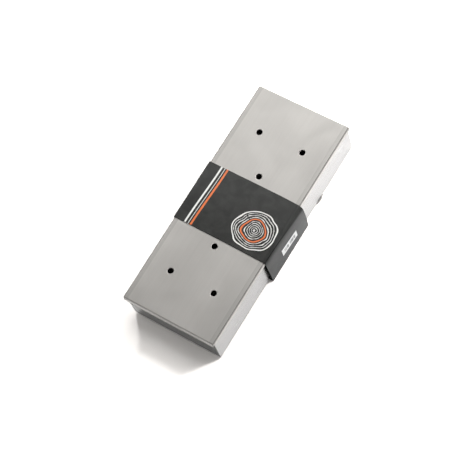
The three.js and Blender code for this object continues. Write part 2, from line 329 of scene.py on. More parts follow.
def lid_patches():
    """The lid's middle surface: a flat top with a square left out for each vent, a flap down each
    side that hooks inwards, and a lip down the front that leans out. At the front corners the flaps
    end on the line where their two folds would cross, less half a gap. Returns the patches, and the
    top's quads that stay."""
    xs = grid_lines(-LID_FLAT, LID_FLAT, (-VENT_SIDE, 0, VENT_SIDE), (8, 6, 6, 8))
    along_vents = (-VENT_END, -VENT_MIDDLE, VENT_MIDDLE, VENT_END)
    ys = grid_lines(LID_FRONT_FOLD, LID_LENGTH / 2, along_vents, (10, 8, 20, 8, 10))
    middle = LID_TOP - SHEET / 2
    fold = LID_FOLD - SHEET / 2
    gx, gy = np.meshgrid(xs, ys, indexing="ij")
    cx = (gx[:-1, :-1] + gx[1:, 1:]) / 2
    cy = (gy[:-1, :-1] + gy[1:, 1:]) / 2
    holes = [(abs(cx - x) < VENT_CELL) & (abs(cy - y) < VENT_CELL) for x, y in VENT_PLACES]
    patches = [patch(grid(gx, gy, middle + sheet_wave(gx, gy)), gx, gy)]
    patches += [vent_patch(x, y) for x, y in VENT_PLACES]

    side = LID_HALF - SHEET / 2
    hook = LID_TOP - LID_SKIRT + SHEET / 2
    turn = LID_RETURN - SHEET / 2
    corners = [(LID_FLAT, middle), (side, middle), (side, hook), (TRAY_HALF + HOOK_CLEAR, hook)]
    line, share = section(corners, [0, fold, turn, 0], [0, 4, 2])
    distance = developed(line)
    reach = line[:, 0] - LID_FLAT
    in_hook = distance > distance[-1] - HOOK_WIDTH
    flap_y = np.repeat(ys[None], len(line), axis=0)
    flap_y[:, 0] = ys[0] - np.where(in_hook, -HOOK_SET_BACK, reach - CORNER_GAP * (reach > 0))
    for sign in (1, -1):
        points = grid(sign * line[:, :1], flap_y, line[:, 1:])
        across = sign * (LID_FLAT + distance)[:, None]
        order = slice(None, None, sign)
        patches.append(patch(points[order], across[order], flap_y[order], share[order, None]))

    lip = -LID_LENGTH / 2 + SHEET / 2
    corners = [(ys[0], middle), (lip, middle), (lip - LIP_LEAN, LID_TOP - LIP_HEIGHT)]
    line, share = section(corners, [0, fold, 0], [0, 4])
    distance = developed(line)
    half = LID_FLAT + np.minimum(ys[0] - line[:, 0], fold) - CORNER_GAP * (distance > 0)
    lip_x = np.repeat(xs[None], len(line), axis=0)
    lip_x[:, 0], lip_x[:, -1] = -half, half
    points = grid(lip_x, line[:, :1], line[:, 1:])
    patches.append(patch(points, lip_x, (ys[0] - distance)[:, None], share[:, None]))
    return patches, ~np.any(holes, axis=0)


def tray_patches():
    """The tray's middle surface: one cross-section, rail to rail, carried along Y, and a half-moon
    tab at the foot of the right wall whose rim is part of a circle."""
    wall = TRAY_HALF - SHEET / 2
    rim = TRAY_HALF + RIM_GAP + SHEET / 2
    roll = (rim - wall) / 2
    top = TRAY_FOOT + TRAY_HEIGHT - SHEET / 2
    floor = TRAY_FOOT + SHEET / 2
    rim_foot = TRAY_FOOT + TRAY_HEIGHT - RIM_DROP
    fold = TRAY_FOLD - SHEET / 2
    corners = [
        (rim, rim_foot), (rim, top), (wall, top), (wall, floor),
        (-wall, floor), (-wall, top), (-rim, top), (-rim, rim_foot),
    ]
    line, share = section(corners, [0, roll, roll, fold, fold, roll, roll, 0], [2, 0, 10, 24, 10, 0, 2])
    ys = np.linspace(TRAY_FRONT, TRAY_REAR, 56)
    points = grid(line[:, :1], ys, line[:, 1:])
    shell = patch(points, developed(line)[:, None], ys, TRAY_FOLD_SHADE_AND_WEAR_SHARE * share[:, None])

    half = TAB_WIDTH / 2
    radius = (half ** 2 + TAB_REACH ** 2) / (2 * TAB_REACH)
    widest = math.asin(half / radius)
    angle = np.linspace(-widest, widest, 25)
    rim_x = TRAY_HALF + TAB_REACH - radius + radius * np.cos(angle)
    root = TRAY_HALF - TRAY_FOLD * TAB_ROOT_SHARE
    tab_x = root + (rim_x - root) * np.linspace(0, 1, 4)[:, None]
    tab_y = TAB_FROM_MIDDLE + radius * np.sin(angle)
    tab_z = floor + np.clip(tab_x - TRAY_HALF, 0, None) * math.tan(math.radians(TAB_TURN))
    # The tab has the full share of fold, so the steel finish gives it the painted shade of a fold
    return [shell, patch(grid(tab_x, tab_y, tab_z), tab_x, tab_y, 1.0)]


def end_wall_patches(rolls_outwards, face_y, inwards):
    """An end wall's middle surface: foot flange, face and rolled top carried across X, and a flange
    folded in at each side, from the same rows. inwards is the direction along Y into the tray.
    Returns the patches, and the wall's quads that stay. They leave out a narrow strip at each side,
    along the flange on the rear wall. On the front wall, whose rows run the other way, the strip is
    left out too high, from the flange's upper end to the rolled top. That is a known fault."""
    face = SHEET / 2
    roll = (RIM_GAP + SHEET) / 2
    rim = face - 2 * roll if rolls_outwards else face + 2 * roll
    top = TRAY_HEIGHT - SHEET / 2
    rim_foot = TRAY_HEIGHT - RIM_DROP
    foot = SHEET + WELD_GAP + SHEET / 2
    fold = TRAY_FOLD - SHEET / 2
    side = TRAY_HALF - SHEET - WELD_GAP - SHEET / 2
    bend = side - fold
    half = TRAY_HALF - SHEET - WELD_GAP - CORNER_RELIEF
    low, high = foot + FLANGE_MARGIN, rim_foot - FLANGE_MARGIN

    def placed(x, depth, height, across, share):
        points = grid(x, face_y + inwards * depth, TRAY_FOOT + height)
        across, share = np.broadcast_to(across, x.shape), np.broadcast_to(share, x.shape)
        order = slice(None, None, -inwards)
        return patch(points[order], across[order], height[order], share[order])

    corners = [
        (FLANGE_DEPTH, foot), (face, foot), (face, low), (face, high),
        (face, top), (rim, top), (rim, rim_foot),
    ]
    line, share = section(corners, [0, fold, 0, 0, roll, roll, 0], [3, 2, 8, 2, 0, 2])
    xs = np.concatenate([[-half], np.linspace(-bend, bend, 40), [half]])
    x, depth, height = np.broadcast_arrays(xs, line[:, :1], line[:, 1:])
    patches = [placed(x, depth, height, x, share[:, None])]
    strip = (height[:-1, :-1] > low - TOUCH) & (height[1:, 1:] < high + TOUCH)
    strip &= abs(depth[:-1, :-1] - face) < TOUCH
    strip[:, 1:-1] = False

    on_flange = (line[:, 0] < face + TOUCH) & (line[:, 1] > low - TOUCH) & (line[:, 1] < high + TOUCH)
    flange, share = section([(bend, face), (side, face), (side, FLANGE_DEPTH)], [0, fold, 0], [0, 4])
    for sign in (1, -1):
        columns = slice(None, None, sign)
        x, depth, height = np.broadcast_arrays(
            sign * flange[columns, 0], flange[columns, 1], line[on_flange, 1:])
        across = sign * (bend + developed(flange))
        patches.append(placed(x, depth, height, across[columns], share[columns]))
    return patches, ~strip


def smooth_step(value, low, high):
    """Zero below low, one above high, and three times the square less twice the cube between them."""
    share = np.clip((value - low) / (high - low), 0, 1)
    return share * share * (3 - 2 * share)


def grown(size, y, start=-SLEEVE_HALF):
    """A sleeve size that grows smoothly from start to the back edge."""
    return size[0] + size[1] * smooth_step(y, start, SLEEVE_HALF)


def panel_push(y, share_up):
    """How far the sleeve's right panel bulges past the straight from its foot to its top: half a wave
    of a sine over its height."""
    return grown(PANEL_PUSH, y) * np.sin(np.pi * np.clip(share_up / PANEL_PUSH_SHARE, 0, 1))


def sleeve_patches():
    """The sleeve's middle surface: from the glue flap that lies inside the floor, up the slack right
    panel, over the top, down the close left panel and back under the flap. Its top right shoulder
    opens from a crease at the front to a soft bend at the back, and the top arches up beside it, by
    a bell curve and a wide squared sine. Its edges are cut a little askew at the shoulder."""
    ys = np.linspace(-SLEEVE_HALF, SLEEVE_HALF, 47)
    one = np.ones_like(ys)
    left = SLEEVE_LEFT + CARD / 2
    low, flap = CARD / 2, CARD * 1.5 + FLAP_FILM
    top = SLEEVE_TOP - CARD / 2
    fold = SLEEVE_FOLD - CARD / 2
    corner_x = grown(PANEL_TOP, ys) - CARD / 2
    corner_z = top + grown(SHOULDER_RISE, ys)
    cut = grown(SHOULDER_CUT, ys, SHOULDER_OPENS)
    cut_drop = cut * math.tan(math.radians(SHOULDER_SLOPE))
    bend = grown(SHOULDER_BEND, ys, SHOULDER_OPENS)

    stations = [
        (FLAP_END, flap, 0), (FLAP_STEP_TOP, flap, FLAP_STEP_FOLD), (FLAP_STEP_FOOT, low, FLAP_STEP_FOLD),
        (PANEL_FOOT - CARD / 2, low, fold), (corner_x, corner_z - cut_drop, bend),
        (corner_x - cut, corner_z, SHOULDER_CREASE), (left, top, fold), (left, low, fold),
        (SLEEVE_FLOOR_END, low, 0),
    ]
    corners = [np.stack([x * one, z * one], -1) for x, z, radius in stations]
    radii = [radius * one for x, z, radius in stations]
    line, share = turned_line(corners, radii, [6, 1, 6, 16, 3, 36, 14, 20], arc_steps=10)
    x, z = line[..., 0], line[..., 1]
    # On the shoulder below its crease the share of fold, and with it the painted crease shade, is cut to
    # UNSCORED_SHARE
    unscored = (x[:, 0] > UNSCORED_SIDE) & (z[:, 0] > UNSCORED_LOW) & (z[:, 0] < UNSCORED_HIGH)
    share = np.where(unscored, UNSCORED_SHARE * share, share)
    push = panel_push(ys, np.clip(z / corner_z, 0, 1))
    x = x + np.where((x > PUSHED_SIDE) & (z > PUSHED_LOW), push, 0)
    arch = grown(ARCH_RISE, ys) * np.exp(-((x - ARCH_PLACE) / ARCH_WIDTH) ** 2)
    arch += WIDE_ARCH_RISE * np.sin((x - WIDE_ARCH_START) / WIDE_ARCH_WIDTH * np.pi) ** 2
    z = z + np.where(z > ARCH_FROM, arch * smooth_step(z, ARCH_FROM, ARCH_FULL), 0)
    distance = developed(np.stack([x, z], -1))
    across = distance - distance[np.argmax(z[:, 0] > TOP_FACE)]
    skew = SLEEVE_SKEW * np.clip(1 - abs(across) / SLEEVE_SKEW_WIDTH, 0, 1)
    return [patch(grid(x, ys - skew, z)[::-1], across[::-1], ys, share[::-1, None])]


def label_patches():
    """The label's middle surface: a slightly turned rectangle on the sleeve's right panel, held off
    the card's outer face by half its own thickness and a film of glue."""
    u, v = np.meshgrid(np.linspace(-0.5, 0.5, 13), np.linspace(-0.5, 0.5, 7))
    turn = math.radians(LABEL_TURN)
    along, up = u * LABEL_WIDTH, v * LABEL_HEIGHT
    y = LABEL_ALONG + along * math.cos(turn) - up * math.sin(turn)
    z = LABEL_UP + along * math.sin(turn) + up * math.cos(turn)
    share = z / LABEL_PANEL_HEIGHT
    x = PANEL_FOOT + (grown(PANEL_TOP, y) - PANEL_FOOT) * share + panel_push(y, share)
    x += LABEL_THICKNESS / 2 + LABEL_GLUE
    return [patch(grid(x, y - LABEL_SKEW, z), along, up)]


# Finishes

def give(tree, node, inputs):
    """Fills a node's inputs. Each is a plain value, or another node's output to join to."""
    for key, value in inputs.items():
        if isinstance(value, bpy.types.NodeSocket):
            tree.links.new(value, node.inputs[key])
        else:
            node.inputs[key].default_value = value


def add(tree, kind, inputs=None, **settings):
    """A new node with its settings and inputs."""
    made = tree.nodes.new(kind)
    for key, value in settings.items():
        setattr(made, key, value)
    give(tree, made, inputs or {})
    return made


def maths(tree, operation, *values, clamp=False):
    """The result of one Math node."""
    inputs = dict(enumerate(values))
    return add(tree, "ShaderNodeMath", inputs, operation=operation, use_clamp=clamp).outputs[0]


def times(tree, first, second):
    """The product of two values."""
    return maths(tree, "MULTIPLY", first, second)


def spread(tree, value, low, high, to_low=0.0, to_high=1.0):
    """A value moved smoothly from one range to another, and held at its ends."""
    inputs = {"Value": value, "From Min": low, "From Max": high, "To Min": to_low, "To Max": to_high}
    return add(tree, "ShaderNodeMapRange", inputs, interpolation_type="SMOOTHSTEP").outputs[0]


def stripe(tree, value, middle, width, soft=0.0006):
    """One where value is within half a width of the middle, with a soft edge."""
    away = maths(tree, "ABSOLUTE", maths(tree, "SUBTRACT", value, middle))
    return spread(tree, away, width / 2 + soft, width / 2 - soft)


def tinted(tree, share, first, second):
    """The first colour turning into the second as share goes from zero to one."""
    inputs = {0: share, 6: first, 7: second}
    return add(tree, "ShaderNodeMix", inputs, data_type="RGBA").outputs[2]


def noise(tree, place, scale, detail=2.0, roughness=0.5, distortion=0.0):
    """A noise of the place, with scale in noise cells per metre or per unit of the flat map."""
    inputs = {"Vector": place, "Scale": scale, "Detail": detail, "Roughness": roughness}
    return add(tree, "ShaderNodeTexNoise", {**inputs, "Distortion": distortion}).outputs["Fac"]


def scaled(tree, place, factors):
    """A place with each of its three parts multiplied by its own factor."""
    return add(tree, "ShaderNodeVectorMath", {0: place, 1: factors}, operation="MULTIPLY").outputs[0]


def parts_of(tree, place):
    """The X, Y and Z of a place."""
    return add(tree, "ShaderNodeSeparateXYZ", {0: place}).outputs


def flat_place(tree):
    """The place on the flat sheet: X across it and Y along it, in tenths of a metre."""
    return add(tree, "ShaderNodeUVMap", uv_map="flat").outputs[0]


def fold_share(tree):
    """How fully the sheet is folded at the place, from zero to one."""
    return add(tree, "ShaderNodeAttribute", attribute_name="fold").outputs["Fac"]


def bump(tree, height, strength, distance):
    """A normal tilted by a height. The distance is in metres."""
    inputs = {"Height": height, "Strength": strength, "Distance": distance}
    return add(tree, "ShaderNodeBump", inputs).outputs[0]


def colour(red, green, blue):
    """A solid colour."""
    return (red, green, blue, 1.0)


def grey(level):
    """A solid colour with its three parts alike."""
    return colour(level, level, level)


def shaded(tone, share):
    """A colour made darker, or paler where share is over one."""
    return colour(*[share * part for part in tone[:3]])


def effect(name, inputs, outputs, build):
    """A shader node group. inputs are (name, kind, value) and outputs are (name, kind); build is given
    the tree and the group's inputs, and returns the outputs' sources in order."""
    tree = bpy.data.node_groups.new(name, "ShaderNodeTree")
    for title, kind, value in inputs:
        socket = tree.interface.new_socket(name=title, in_out="INPUT", socket_type=kind)
        if value is not None:
            socket.default_value = value
    for title, kind in outputs:
        tree.interface.new_socket(name=title, in_out="OUTPUT", socket_type=kind)
    given = add(tree, "NodeGroupInput").outputs
    shown = add(tree, "NodeGroupOutput")
    for socket, source in zip(shown.inputs, build(tree, given)):
        tree.links.new(source, socket)
    return tree


def use(tree, group, inputs):
    """The outputs of one effect, placed in a material with its own values."""
    return add(tree, "ShaderNodeGroup", inputs, node_tree=group).outputs


VALUE, VECTOR = "NodeSocketFloat", "NodeSocketVector"


def build_grain(tree, given):
    """Fine lines and broader streaks: two noises of the place, both drawn out along the grain."""
    place = scaled(tree, given["Place"], given["Stretch"])
    fine = noise(tree, place, given["Lines"], 3.0, 0.65)
    broad = noise(tree, place, times(tree, given["Lines"], 0.17), 2.0, 0.55)
    both = maths(tree, "MULTIPLY_ADD", broad, 0.45, times(tree, fine, 0.55))
    return spread(tree, both, 0.34, 0.66), spread(tree, fine, 0.25, 0.75)


def build_clouds(tree, given):
    """Soft patches: a warped noise of the place, pulled apart by the contrast."""
    soft = noise(tree, given["Place"], given["Patches"], 3.0, 0.5, 0.6)
    low = maths(tree, "SUBTRACT", 0.5, given["Softness"])
    high = maths(tree, "ADD", 0.5, given["Softness"])
    return (spread(tree, soft, low, high),)


def build_wear(tree, given):
    """Wear where sheet is folded: the share of fold, broken up by a noise of the place."""
    broken = noise(tree, given["Place"], given["Breaks"], 4.0, 0.7)
    folded = times(tree, given["Fold"], given["Amount"])
    worn = maths(tree, "ADD", folded, maths(tree, "SUBTRACT", broken, 0.5))
    return (spread(tree, worn, 0.3, 0.75),)


def build_scratches(tree, given):
    """Rare hairlines: two noises drawn out in slanted directions, kept only near their peaks."""
    lines = []
    for turn, shift in ((0.35, 0.0), (-0.9, 3.7)):
        slant = {"Rotation": (0, 0, turn), "Location": (shift, shift, 0), "Scale": (1.0, 0.025, 1.0)}
        turned = add(tree, "ShaderNodeMapping", {"Vector": given["Place"], **slant}).outputs[0]
        lines.append(spread(tree, noise(tree, turned, given["Lines"], 1.0, 0.5), 0.71, 0.76))
    patches = spread(tree, noise(tree, given["Place"], 60.0, 2.0, 0.5), 0.5, 0.62)
    return (times(tree, maths(tree, "MAXIMUM", *lines), patches),)


grain_effect = effect(
    "brushed grain",
    [("Place", VECTOR, None), ("Stretch", VECTOR, (1.0, 0.02, 1.0)), ("Lines", VALUE, 2600.0)],
    [("Shade", VALUE), ("Height", VALUE)], build_grain)
cloud_effect = effect(
    "soft clouds", [("Place", VECTOR, None), ("Patches", VALUE, 30.0), ("Softness", VALUE, 0.2)],
    [("Mask", VALUE)], build_clouds)
wear_effect = effect(
    "fold wear",
    [("Place", VECTOR, None), ("Fold", VALUE, 0.0), ("Breaks", VALUE, 900.0), ("Amount", VALUE, 0.4)],
    [("Mask", VALUE)], build_wear)
scratch_effect = effect(
    "hairlines", [("Place", VECTOR, None), ("Lines", VALUE, 900.0)], [("Mask", VALUE)], build_scratches)


def new_finish(name):
    """An empty material, with its tree, the place on the object and its shader."""
    finish = bpy.data.materials.new(name)
    finish.use_nodes = True
    tree = finish.node_tree
    tree.nodes.clear()
    place = add(tree, "ShaderNodeTexCoord").outputs["Object"]
    shader = add(tree, "ShaderNodeBsdfPrincipled")
    output = add(tree, "ShaderNodeOutputMaterial")
    tree.links.new(shader.outputs[0], output.inputs["Surface"])
    return finish, tree, place, shader


# Places across the flat lid from its middle line, in tenths of a metre
BAND_START, BAND_END, BAND_SOFT = 0.408, 0.456, 0.004
BAND_LINE_REACH = 0.0035
FOLD_SHADE_LINE, FOLD_SHADE_LINE_WIDTH = 0.4463, 0.0105


def beside_fold(tree, tone, rough, dark):
    """The duller band that the folding tool leaves beside the lid's long folds, with a thin line on
    its inner side, and a dark line of painted shade on the fold. Returns the tone and roughness
    with the band and the painted shade on them."""
    across = maths(tree, "ABSOLUTE", parts_of(tree, flat_place(tree))["X"])
    starts = spread(tree, across, BAND_START - BAND_SOFT, BAND_START + BAND_SOFT)
    ends = spread(tree, across, BAND_END + BAND_SOFT, BAND_END - BAND_SOFT)
    band = times(tree, starts, ends)
    away = maths(tree, "ABSOLUTE", maths(tree, "SUBTRACT", across, BAND_START))
    line = maths(tree, "SUBTRACT", 1.0, maths(tree, "DIVIDE", away, BAND_LINE_REACH), clamp=True)
    painted_fold_shade = stripe(tree, across, FOLD_SHADE_LINE, FOLD_SHADE_LINE_WIDTH)
    tone = tinted(tree, times(tree, band, 0.85), tone, shaded(dark, 0.82))
    tone = tinted(tree, times(tree, line, 0.35), tone, shaded(dark, 0.6))
    # A dark line of painted shade on the fold itself
    tone = tinted(tree, times(tree, painted_fold_shade, 0.95), tone, shaded(dark, 0.05))
    return tone, maths(tree, "MULTIPLY_ADD", band, 0.03, rough)


def brushed_steel(name, bright, dark, roughness, stretch, turn=0.0, band=False, folded=0.0):
    """Brushed stainless sheet. Its grain runs along the axis that stretch makes smallest, and turn
    turns its highlights against the grain. Its folds are darkened as painted shade, and folded is
    how much more painted shade the sheet gets where it is fully folded."""
    finish, tree, place, shader = new_finish(name)
    grain = use(tree, grain_effect, {"Place": place, "Stretch": stretch, "Lines": 2600.0})
    cloud = use(tree, cloud_effect, {"Place": place, "Patches": 30.0, "Softness": 0.22})["Mask"]
    scratch = use(tree, scratch_effect, {"Place": place, "Lines": 700.0})["Mask"]
    fold = fold_share(tree)
    wear = use(tree, wear_effect, {"Place": place, "Fold": fold, "Breaks": 600.0, "Amount": 0.45})["Mask"]
    shade = maths(tree, "MULTIPLY_ADD", grain["Shade"], 0.62, times(tree, cloud, 0.38))
    tone = tinted(tree, shade, dark, bright)
    rough = maths(tree, "MULTIPLY_ADD", grain["Shade"], -0.02, roughness)
    rough = maths(tree, "MULTIPLY_ADD", cloud, 0.03, rough)
    if band:
        tone, rough = beside_fold(tree, tone, rough, dark)
    # Painted shade along the folds; the wear after it is real
    tone = tinted(tree, times(tree, fold, 0.8), tone, shaded(dark, 0.62))
    tone = tinted(tree, times(tree, wear, 0.05), tone, bright)
    rough = maths(tree, "MULTIPLY_ADD", fold, 0.25, rough)
    # More painted shade where the sheet is fully folded
    tone = tinted(tree, spread(tree, fold, 0.5, 1.0, 0.0, folded), tone, shaded(dark, 0.3))
    tone = tinted(tree, times(tree, scratch, 0.25), tone, shaded(bright, 1.1))
    height = maths(tree, "SUBTRACT", grain["Height"], times(tree, scratch, 0.6))
    grain_way = add(tree, "ShaderNodeTangent", direction_type="UV_MAP", uv_map="flat").outputs[0]
    give(tree, shader, {
        "Base Color": tone, "Roughness": rough, "Normal": bump(tree, height, 0.04, 0.00002),
        "Tangent": grain_way, "Metallic": 1.0, "Anisotropic": 0.45, "Anisotropic Rotation": turn,
    })
    return finish


def sheared_steel(name):
    """The cut edge of the sheet: paler, and torn across its thickness."""
    finish, tree, place, shader = new_finish(name)
    torn = noise(tree, scaled(tree, place, (1.0, 1.0, 0.2)), 5200.0, 3.0, 0.7)
    tone = tinted(tree, torn, colour(0.42, 0.41, 0.39), colour(0.72, 0.71, 0.69))
    rough = spread(tree, torn, 0.2, 0.8, 0.34, 0.5)
    normal = bump(tree, torn, 0.25, 0.00003)
    give(tree, shader, {"Base Color": tone, "Roughness": rough, "Normal": normal, "Metallic": 1.0})
    return finish


# Places on the flat sleeve, in tenths of a metre: across from the top right fold, and along the box.
# The crack's turn and edge are in radians.
HEART = (0.235, -0.085, 0.0)
HEART_STRETCH = (1.0, 1.14, 1.0)
RING_STEP = 0.021
RING_WARP = 0.05
RING_WEIGHTS = 0.16, 0.40
RINGS_END, RINGS_END_SOFT = 0.185, 0.001
BARK, BARK_WIDTH = 0.196, 0.012
EMBER_RING, EMBER_RING_WIDTH = 0.111, 0.012
CRACK_TURN, CRACK_BEND = 0.7, 8.0
CRACK_EDGE, CRACK_STARTS = (0.055, 0.03), (0.02, 0.05)
PALE_RULES = ((0.800, 0.016), (0.768, 0.005))
EMBER_RULE, EMBER_RULE_WIDTH = 0.742, 0.018
TOP_PANEL_END, TOP_PANEL_SOFT = 0.91, 0.005
FRONT_TO_BACK = -0.26, 0.2
CREASE_SHADE_STARTS, CREASE_SHADE_ENDS = (-0.09, -0.01), (0.006, 0.0)
SIDE_SHEEN, SIDE_SHEEN_FADES = 0.5, (-0.105, -0.004)
TOP_SHEEN, TOP_SHEEN_STARTS = 0.34, (-0.004, 0.006)
CHARCOAL, STONE = colour(0.014, 0.0145, 0.013), colour(0.026, 0.0265, 0.0245)
SPECK, PAINTED_CREASE_SHADE = colour(0.06, 0.06, 0.057), colour(0.006, 0.006, 0.0055)
OFF_WHITE, EMBER = colour(0.74, 0.74, 0.71), colour(0.66, 0.155, 0.045)
WORN_CARD = colour(0.33, 0.32, 0.30)


def growth_rings(tree, flat):
    """A cut log: rings of uneven weight at equal steps from a heart, bent by one slow noise and split
    by a crack, inside a ring of bark. Returns the masks of its pale lines and of its orange ring."""
    from_heart = add(tree, "ShaderNodeVectorMath", {0: flat, 1: HEART}, operation="SUBTRACT").outputs[0]
    from_heart = scaled(tree, from_heart, HEART_STRETCH)
    radius = add(tree, "ShaderNodeVectorMath", {0: from_heart}, operation="LENGTH").outputs["Value"]
    warp = times(tree, maths(tree, "SUBTRACT", noise(tree, flat, 9.0, 0.5, 0.5), 0.5), RING_WARP)
    ring_place = maths(tree, "ADD", radius, warp)
    step = maths(tree, "FRACT", maths(tree, "DIVIDE", ring_place, RING_STEP))
    weight = spread(tree, noise(tree, flat, 24.0, 2.0, 0.5), 0.3, 0.7, *RING_WEIGHTS)
    rings = spread(tree, maths(tree, "SUBTRACT", weight, step), -0.05, 0.05)
    rings = times(tree, rings, spread(tree, step, 0.0, 0.06))
    way = parts_of(tree, from_heart)
    crack_line = maths(tree, "MULTIPLY_ADD", warp, CRACK_BEND, CRACK_TURN)
    from_crack = maths(tree, "SUBTRACT", maths(tree, "ARCTAN2", way["Y"], way["X"]), crack_line)
    crack = spread(tree, maths(tree, "ABSOLUTE", from_crack), *CRACK_EDGE)
    crack = times(tree, crack, spread(tree, radius, *CRACK_STARTS))
    rings = times(tree, rings, maths(tree, "SUBTRACT", 1.0, crack))
    inside = spread(tree, ring_place, RINGS_END + RINGS_END_SOFT, RINGS_END - RINGS_END_SOFT)
    pale = maths(tree, "MAXIMUM", times(tree, rings, inside), stripe(tree, ring_place, BARK, BARK_WIDTH))
    ember = times(tree, stripe(tree, ring_place, EMBER_RING, EMBER_RING_WIDTH), inside)
    return pale, ember


def printed_card():
    """Charcoal ground with a stone-like mottle, growth rings in off-white with one in orange, and
    three rules across the left end. It has painted shade on its creases and beside its top right
    crease, weaker towards the back, and its sheen fades from the side panel to the fold."""
    finish, tree, place, shader = new_finish("printed card")
    flat = flat_place(tree)
    part = parts_of(tree, flat)
    across, backwards = part["X"], spread(tree, part["Y"], *FRONT_TO_BACK)
    mottle = spread(tree, noise(tree, flat, 9.0, 5.0, 0.6, 0.5), 0.35, 0.7)
    specks = spread(tree, noise(tree, flat, 120.0, 3.0, 0.7), 0.62, 0.8, 0.0, 0.35)
    ground = tinted(tree, specks, tinted(tree, mottle, CHARCOAL, STONE), SPECK)
    # Painted shade on the side panel just below the shoulder crease, weaker towards the back
    beside = times(tree, spread(tree, across, *CREASE_SHADE_STARTS), spread(tree, across, *CREASE_SHADE_ENDS))
    beside = times(tree, beside, maths(tree, "MULTIPLY_ADD", backwards, -0.75, 0.75))
    ground = tinted(tree, beside, ground, PAINTED_CREASE_SHADE)

    pale, ember = growth_rings(tree, flat)
    for middle, width in PALE_RULES:
        pale = maths(tree, "MAXIMUM", pale, stripe(tree, across, middle, width))
    ember = maths(tree, "MAXIMUM", ember, stripe(tree, across, EMBER_RULE, EMBER_RULE_WIDTH))
    top_panel = spread(tree, across, TOP_PANEL_END + TOP_PANEL_SOFT, TOP_PANEL_END - TOP_PANEL_SOFT)
    top_panel = times(tree, spread(tree, across, 0.0, TOP_PANEL_SOFT), top_panel)
    ink = tinted(tree, times(tree, pale, top_panel), ground, OFF_WHITE)
    ink = tinted(tree, times(tree, ember, top_panel), ink, EMBER)
    fold = fold_share(tree)
    wear = use(tree, wear_effect, {"Place": place, "Fold": fold, "Breaks": 1400.0, "Amount": 0.30})["Mask"]
    # Painted shade on the creases
    ink = tinted(tree, times(tree, fold, 0.7), ink, PAINTED_CREASE_SHADE)
    ink = tinted(tree, times(tree, wear, 0.03), ink, WORN_CARD)

    fibre = noise(tree, place, 900.0, 3.0, 0.6)
    rough = spread(tree, fibre, 0.2, 0.8, 0.34, 0.42)
    at_fold = maths(tree, "MULTIPLY_ADD", backwards, 0.24, 0.02)
    sheen = spread(tree, across, *SIDE_SHEEN_FADES, SIDE_SHEEN, at_fold)
    sheen = maths(tree, "ADD", sheen, spread(tree, across, *TOP_SHEEN_STARTS, 0.0, TOP_SHEEN))
    give(tree, shader, {
        "Base Color": ink, "Roughness": rough, "Normal": bump(tree, fibre, 0.10, 0.00004),
        "Specular IOR Level": sheen, "IOR": 1.5,
    })
    return finish


def bare_board(name, pale, dark):
    """Unprinted board: short fibres laid mostly one way, with dark flecks."""
    finish, tree, place, shader = new_finish(name)
    fibre = noise(tree, scaled(tree, place, (1.0, 0.35, 1.0)), 1500.0, 5.0, 0.7)
    fleck = spread(tree, noise(tree, place, 700.0, 2.0, 0.5), 0.66, 0.76)
    tone = tinted(tree, spread(tree, fibre, 0.3, 0.7), dark, pale)
    tone = tinted(tree, times(tree, fleck, 0.5), tone, shaded(dark, 0.45))
    rough = spread(tree, fibre, 0.2, 0.8, 0.82, 0.94)
    give(tree, shader, {"Base Color": tone, "Roughness": rough, "Normal": bump(tree, fibre, 0.3, 0.00006)})
    return finish


# The label's block of bars, in tenths of a metre from the label's middle
BARS_WIDTH, BARS_HEIGHT, BARS_SOFT = 0.17, 0.05, 0.0004
BARS_PER_TENTH = 230.0
BARE_SHARE = 0.36


def label_paper():
    """White paper with a block of grey bars of uneven widths and a bare margin round it."""
    finish, tree, place, shader = new_finish("label paper")
    part = parts_of(tree, flat_place(tree))
    cell = maths(tree, "FLOOR", times(tree, part["X"], BARS_PER_TENTH))
    chance = add(tree, "ShaderNodeTexWhiteNoise", {"W": cell}, noise_dimensions="1D").outputs["Value"]
    bars = maths(tree, "GREATER_THAN", chance, BARE_SHARE)
    wide = stripe(tree, part["X"], 0.0, BARS_WIDTH, BARS_SOFT)
    block = times(tree, wide, stripe(tree, part["Y"], 0.0, BARS_HEIGHT, BARS_SOFT))
    fibre = noise(tree, place, 2200.0, 4.0, 0.65)
    tone = tinted(tree, fibre, colour(0.87, 0.87, 0.865), colour(0.93, 0.93, 0.925))
    tone = tinted(tree, times(tree, bars, block), tone, colour(0.36, 0.36, 0.365))
    rough = spread(tree, fibre, 0.2, 0.8, 0.55, 0.68)
    give(tree, shader, {"Base Color": tone, "Roughness": rough, "Normal": bump(tree, fibre, 0.12, 0.00003)})
    return finish


LENGTHWISE = (1.0, 0.018, 1.0)
CROSSWISE = (0.018, 1.0, 1.0)
INSIDE_BRIGHT, INSIDE_DARK, INSIDE_ROUGH = colour(0.62, 0.61, 0.59), colour(0.53, 0.52, 0.50), 0.38
lid_outside = brushed_steel(
    "lid steel", colour(0.605, 0.587, 0.558), colour(0.57, 0.552, 0.523), 0.34, LENGTHWISE, band=True)
lid_inside = brushed_steel("lid steel inside", INSIDE_BRIGHT, INSIDE_DARK, INSIDE_ROUGH, LENGTHWISE)
# On the tray, folded reaches only the tab and paints it darker as shade
tray_outside = brushed_steel(
    "tray steel", colour(0.605, 0.594, 0.586), colour(0.565, 0.554, 0.546), 0.25, LENGTHWISE, folded=0.6)
tray_inside = brushed_steel("tray steel inside", INSIDE_BRIGHT, INSIDE_DARK, INSIDE_ROUGH, LENGTHWISE)
